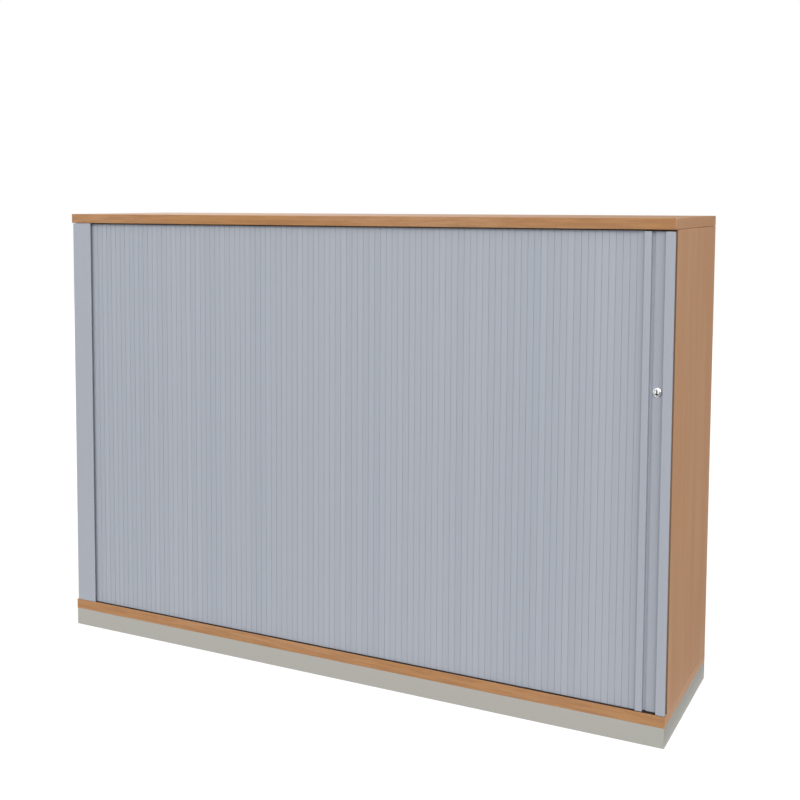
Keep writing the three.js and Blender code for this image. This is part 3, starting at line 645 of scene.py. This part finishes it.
def curtain():
    """The front run of slats, one closed sheet, fixed to the carcass."""
    low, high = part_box("tambour_curtain")
    width = high.x - low.x
    count = round(width / SLAT_PITCH)
    pitch = width / count
    mesh = slat_mesh(low, high, pitch)
    first = mesh.verts[:] + mesh.edges[:] + mesh.faces[:]
    for place in range(1, count):
        copy = bmesh.ops.duplicate(mesh, geom=first)
        moved = [item for item in copy["geom"] if isinstance(item, bmesh.types.BMVert)]
        bmesh.ops.translate(mesh, verts=moved, vec=(place * pitch, 0, 0))
    bmesh.ops.remove_doubles(mesh, verts=mesh.verts, dist=MERGE_GAP)
    bmesh.ops.holes_fill(mesh, edges=[edge for edge in mesh.edges if edge.is_boundary], sides=0)
    bmesh.ops.recalc_face_normals(mesh, faces=mesh.faces)
    made = place_piece("tambour_slats", mesh, "carcass", [slat])
    give_slat_tones(made, low.x, pitch)
    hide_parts("tambour_curtain")
    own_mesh(made)


def curtain_tail():
    """The slats that stay in the bend behind the left post."""
    tail = eased_copy("curtain_tail", "carcass", SLAT_FINISH)
    give_slat_tones(tail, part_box("curtain_tail")[0].x, SLAT_PITCH)


def give_slat_tones(made, left, pitch):
    """Stores a small random tone for each slat, which its plastic's colour reads."""
    draw = random.Random(TONE_SEED)
    tones = {}
    attribute = made.data.attributes.new("slat_tone", "FLOAT", "FACE")
    for polygon in made.data.polygons:
        place = int((polygon.center.x - left) / pitch)
        if place not in tones:
            tones[place] = draw.random()
        attribute.data[polygon.index].value = tones[place]


def front_plane():
    """The plane of the curtain's front, which the stile's groove and the lock are measured from."""
    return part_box("tambour_curtain")[0].y


def profiles():
    eased_copy("left_post", "carcass", SILVER_FINISH)
    eased_copy("right_edge_strip", "carcass", SILVER_FINISH)
    lead_stile()


def lead_stile():
    """The stile's extrusion: grip, finger groove and lock strip, with the groove's floor sunk deeper."""
    material, slot, radius, steps = SILVER_FINISH
    floor = front_plane() + GROOVE_DEPTH
    mesh = whole_mesh("lead_stile")
    sunk = [
        vert for vert in mesh.verts
        if min(abs(vert.co.y - floor), abs(vert.co.y - floor - STILE_WALL)) < MERGE_GAP
    ]
    bmesh.ops.translate(mesh, verts=sunk, vec=(0, GROOVE_SINK, 0))
    round_edges(mesh, sharp_edges(mesh), radius, steps)
    made = place_piece("lead_stile_eased", mesh, "stile", [material])
    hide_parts("lead_stile")


def turned(profile, name, body, materials, axes):
    """A turned piece from its profile, (radius, place along the axis), set by its axes with +Z outward."""
    mesh = bmesh.new()
    verts = [mesh.verts.new((radius, 0, rise)) for radius, rise in profile]
    edges = [mesh.edges.new(pair) for pair in zip(verts, verts[1:])]
    bmesh.ops.spin(
        mesh,
        geom=verts + edges,
        cent=(0, 0, 0),
        axis=(0, 0, 1),
        angle=2 * math.pi,
        steps=LOCK_STEPS,
        use_merge=True,
    )
    bmesh.ops.remove_doubles(mesh, verts=mesh.verts, dist=MERGE_GAP)
    bmesh.ops.recalc_face_normals(mesh, faces=mesh.faces)
    bmesh.ops.transform(mesh, matrix=axes, verts=mesh.verts)
    return place_piece(name, mesh, body, materials)


def lock_frame():
    """The lock's own axes, +Z to the room, in the cabinet's frame."""
    low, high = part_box("lock_rosette")
    middle = ((low.x + high.x) / 2, front_plane(), (low.z + high.z) / 2)
    return Matrix.Translation(middle) @ Matrix.Rotation(math.pi / 2, 4, "X")


def rosette():
    """The lock's chrome rosette: a low dome with a bore for the plug, on a barrel."""
    low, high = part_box("lock_rosette")
    plug_low, plug_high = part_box("lock_cylinder")
    radius = (high.x - low.x) / 2
    bore = (plug_high.x - plug_low.x) / 2 + SEAT_GAP
    top = front_plane() - low.y
    tail = front_plane() - high.y
    barrel = bore + BARREL_WALL
    inner = bore + ROSETTE_BORE_EASE
    turns = [math.pi / 2 * step / DOME_STEPS for step in range(DOME_STEPS + 1)]
    dome = [
        (inner + (radius - inner) * math.cos(turn), ROSETTE_RIM + (top - ROSETTE_RIM) * math.sin(turn))
        for turn in turns
    ]
    profile = [
        (bore, tail),
        (barrel, tail),
        (barrel, SEAT_GAP),
        (radius, SEAT_GAP),
        *dome,
        (bore, top - ROSETTE_BORE_EASE),
        (bore, tail),
    ]
    made = turned(profile, "lock_rosette_turned", "stile", [chrome], lock_frame())
    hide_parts("lock_rosette")


def box_mesh(low, high, matrix):
    """A box between two corners, set by a matrix."""
    mesh = bmesh.new()
    bmesh.ops.create_cube(mesh, size=1)
    bmesh.ops.scale(mesh, vec=Vector(high) - Vector(low), verts=mesh.verts)
    bmesh.ops.translate(mesh, vec=(Vector(low) + Vector(high)) / 2, verts=mesh.verts)
    bmesh.ops.transform(mesh, matrix=matrix, verts=mesh.verts)
    return mesh


def cut(made, tool_mesh):
    """Cuts a bmesh tool out of a piece. Faces that the tool leaves take its second material."""
    data = bpy.data.meshes.new("cutter")
    for face in tool_mesh.faces:
        face.material_index = 1
    tool_mesh.to_mesh(data)
    tool_mesh.free()
    for material in made.data.materials:
        data.materials.append(material)
    cutter = bpy.data.objects.new("cutter", data)
    bpy.context.scene.collection.objects.link(cutter)
    modifier = made.modifiers.new("cut", "BOOLEAN")
    modifier.object = cutter
    modifier.solver = "EXACT"
    graph = bpy.context.evaluated_depsgraph_get()
    evaluated = bpy.data.meshes.new_from_object(made.evaluated_get(graph), depsgraph=graph)
    made.modifiers.remove(modifier)
    old = made.data
    made.data = evaluated
    bpy.data.meshes.remove(old)
    bpy.data.objects.remove(cutter)
    bpy.data.meshes.remove(data)


def lock_plug():
    """The plug that the key turns, with its crowned face and its keyway."""
    low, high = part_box("lock_cylinder")
    radius = (high.x - low.x) / 2
    top = front_plane() - low.y
    tail = front_plane() - high.y
    rim = front_plane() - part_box("lock_rosette")[0].y
    shares = [1 - step / CROWN_STEPS for step in range(CROWN_STEPS + 1)]
    crown = [((radius - PLUG_EASE) * share, rim + (top - rim) * (1 - share**2)) for share in shares]
    profile = [(0, tail), (radius, tail), (radius, rim - PLUG_EASE), *crown]
    made = turned(profile, "lock_plug_turned", "lock_plug", [chrome, keyway], lock_frame())
    half_width = KEYWAY_WIDTH / 2
    half_height = KEYWAY_HEIGHT / 2
    slot_low = (-half_width, -half_height, top - KEYWAY_DEPTH)
    slot_high = (half_width, half_height, top + KEYWAY_DEPTH)
    cut(made, box_mesh(slot_low, slot_high, lock_frame()))
    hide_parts("lock_cylinder")


def cut_cross(made, matrix):
    """Cuts a cross recess at the top of a screw head, whose axes the matrix gives with +Z outward."""
    for length, width in ((CROSS_LENGTH, CROSS_WIDTH), (CROSS_WIDTH, CROSS_LENGTH)):
        low = (-length / 2, -width / 2, -CROSS_DEPTH)
        high = (length / 2, width / 2, CROSS_DEPTH)
        cut(made, box_mesh(low, high, matrix))


def cam_screw():
    """The screw that holds the cam on the plug, with its cross recess."""
    screw = eased_copy("lock_cam_screw", "lock_plug", ZINC_FINISH)
    low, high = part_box("lock_cam_screw")
    head = Matrix.Translation(((low.x + high.x) / 2, high.y, (low.z + high.z) / 2))
    cut_cross(screw, head @ Matrix.Rotation(-math.pi / 2, 4, "X"))


def strike_screws():
    """Two screws that hold the strike plate, above and below its slot, with low domed heads."""
    low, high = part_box("strike_plate")
    profile = [
        (0, -SCREW_SHANK),
        (SCREW_RADIUS, -SCREW_SHANK),
        (SCREW_RADIUS, SCREW_PROUD - SCREW_ROUND),
        (SCREW_RADIUS - SCREW_ROUND, SCREW_PROUD),
        (0, SCREW_PROUD),
    ]
    for name, rise in (("lower", low.z + SCREW_EDGE), ("upper", high.z - SCREW_EDGE)):
        middle = (low.x, (low.y + high.y) / 2, rise)
        axes = Matrix.Translation(middle) @ Matrix.Rotation(-math.pi / 2, 4, "Y")
        made = turned(profile, f"strike_screw_{name}", "carcass", [zinc, zinc], axes)
        cut_cross(made, axes @ Matrix.Translation((0, 0, SCREW_PROUD)))


def lock():
    rosette()
    lock_plug()
    eased_copy("lock_cam", "lock_plug", ZINC_FINISH)
    cam_screw()
    eased_copy("strike_plate", "carcass", ZINC_FINISH)
    strike_screws()


def plinth_frame():
    for side in ("front", "right", "rear", "left"):
        eased_copy(f"plinth_{side}_rail", "carcass", PLINTH_FINISH)
    for corner in ("front_left", "front_right", "rear_left", "rear_right"):
        eased_copy(f"plinth_bracket_{corner}", "carcass", ZINC_FINISH)


def small_fittings():
    for node in sorted(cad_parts):
        if "_pin_" in node or "cam_fitting" in node:
            eased_copy(node, "carcass", ZINC_FINISH)
    for end in ("bottom", "top"):
        eased_copy(f"closing_buffer_{end}", "carcass", DARK_FINISH)
        eased_copy(f"stile_glide_{end}", "stile", DARK_FINISH)
        eased_copy(f"{end}_track", "carcass", DARK_FINISH)


def by_ray(tree, lit, mirrored, seen):
    """What lights the cabinet, what its shiny pieces mirror and what the camera sees, told apart by ray."""
    path = add(tree, "LightPath")
    straight = add(tree, "Math", {
        0: path.outputs["Is Camera Ray"], 1: path.outputs["Is Transmission Ray"],
    }, operation="MAXIMUM")
    bounced = add(tree, "MixShader", {0: path.outputs["Is Glossy Ray"], 1: lit, 2: mirrored})
    return add(tree, "MixShader", {0: straight, 1: bounced, 2: seen})


def white_floor():
    """A plain white floor that keeps a soft shadow and otherwise shows as pure white.

    It lights the cabinet evenly. What shiny pieces mirror in it falls off to a dark flank on the
    right, and has a dark band along the front that gives the lock's chrome its dark lower half.
    """
    mesh = bmesh.new()
    bmesh.ops.create_grid(mesh, x_segments=1, y_segments=1, size=FLOOR_SIZE / 2)
    data = bpy.data.meshes.new("floor")
    mesh.to_mesh(data)
    mesh.free()
    material, tree, place = blank_material("white_floor")
    place = add(tree, "SeparateXYZ", {"Vector": place})
    off_band = add(tree, "Math", {0: place.outputs["Y"], 1: FLOOR_BAND}, operation="SUBTRACT")
    band = add(tree, "MapRange", {
        "Value": add(tree, "Math", {0: off_band}, operation="ABSOLUTE"),
        "From Min": FLOOR_BAND_EDGE[0],
        "From Max": FLOOR_BAND_EDGE[1],
        "To Min": FLOOR_BAND_LEVEL,
        "To Max": WHITE_LEVEL,
    }, interpolation_type="SMOOTHSTEP")
    level = add(tree, "MapRange", {
        "Value": place.outputs["X"],
        "From Min": FLOOR_FLANK[0],
        "From Max": FLOOR_FLANK[1],
        "To Min": band,
        "To Max": FLANK_LEVEL,
    }, interpolation_type="SMOOTHSTEP")
    lit = add(tree, "Emission", {"Strength": FLOOR_LEVEL})
    mirrored = add(tree, "Emission", {"Strength": level})
    grey = add(tree, "BsdfDiffuse", {"Color": FLOOR_GREY})
    seen = add(tree, "AddShader", {0: grey, 1: add(tree, "Emission", {"Strength": FLOOR_GLOW})})
    add(tree, "OutputMaterial", {"Surface": by_ray(tree, lit, mirrored, seen)})
    data.materials.append(material)
    floor = bpy.data.objects.new("floor", data)
    bpy.context.scene.collection.objects.link(floor)


def white_world():
    """Soft light from all round, behind which the picture's ground is white."""
    world = bpy.data.worlds.new("studio")
    bpy.context.scene.world = world
    world.use_nodes = True
    tree = world.node_tree
    tree.nodes.clear()
    facing = add(tree, "TexCoord").outputs["Generated"]
    across = add(tree, "VectorMath", {0: facing, 1: WORLD_FLANK_TOWARDS}, operation="DOT_PRODUCT")
    level = add(tree, "MapRange", {
        "Value": across.outputs["Value"],
        "From Min": WORLD_FLANK[0],
        "From Max": WORLD_FLANK[1],
        "To Min": WHITE_LEVEL,
        "To Max": FLANK_LEVEL,
    }, interpolation_type="SMOOTHSTEP")
    white = (1, 1, 1, 1)
    lit = add(tree, "Background", {"Color": white, "Strength": WORLD_LEVEL})
    mirrored = add(tree, "Background", {"Color": white, "Strength": level})
    seen = add(tree, "Background", {"Color": white, "Strength": WHITE_LEVEL})
    add(tree, "OutputWorld", {"Surface": by_ray(tree, lit, mirrored, seen)})


def sun(name, turn, level):
    lamp = bpy.data.lights.new(name, "SUN")
    lamp.energy = level
    lamp.angle = SUN_SPREAD
    made = bpy.data.objects.new(name, lamp)
    made.rotation_euler = turn
    bpy.context.scene.collection.objects.link(made)


def camera():
    data = bpy.data.cameras.new("camera")
    data.lens = CAMERA_LENS
    data.sensor_width = CAMERA_SENSOR
    data.shift_x, data.shift_y = CAMERA_SHIFT
    made = bpy.data.objects.new("camera", data)
    made.location = CAMERA_PLACE
    made.rotation_euler = CAMERA_TURN
    bpy.context.scene.collection.objects.link(made)
    bpy.context.scene.camera = made


bpy.context.scene.view_settings.view_transform = "Standard"
camera()
white_world()
white_floor()
sun("key_light", KEY_TURN, KEY_LEVEL)
sun("fill_light", FILL_TURN, FILL_LEVEL)

boards()
curtain()
profiles()
lock()
plinth_frame()
small_fittings()
curtain_tail()
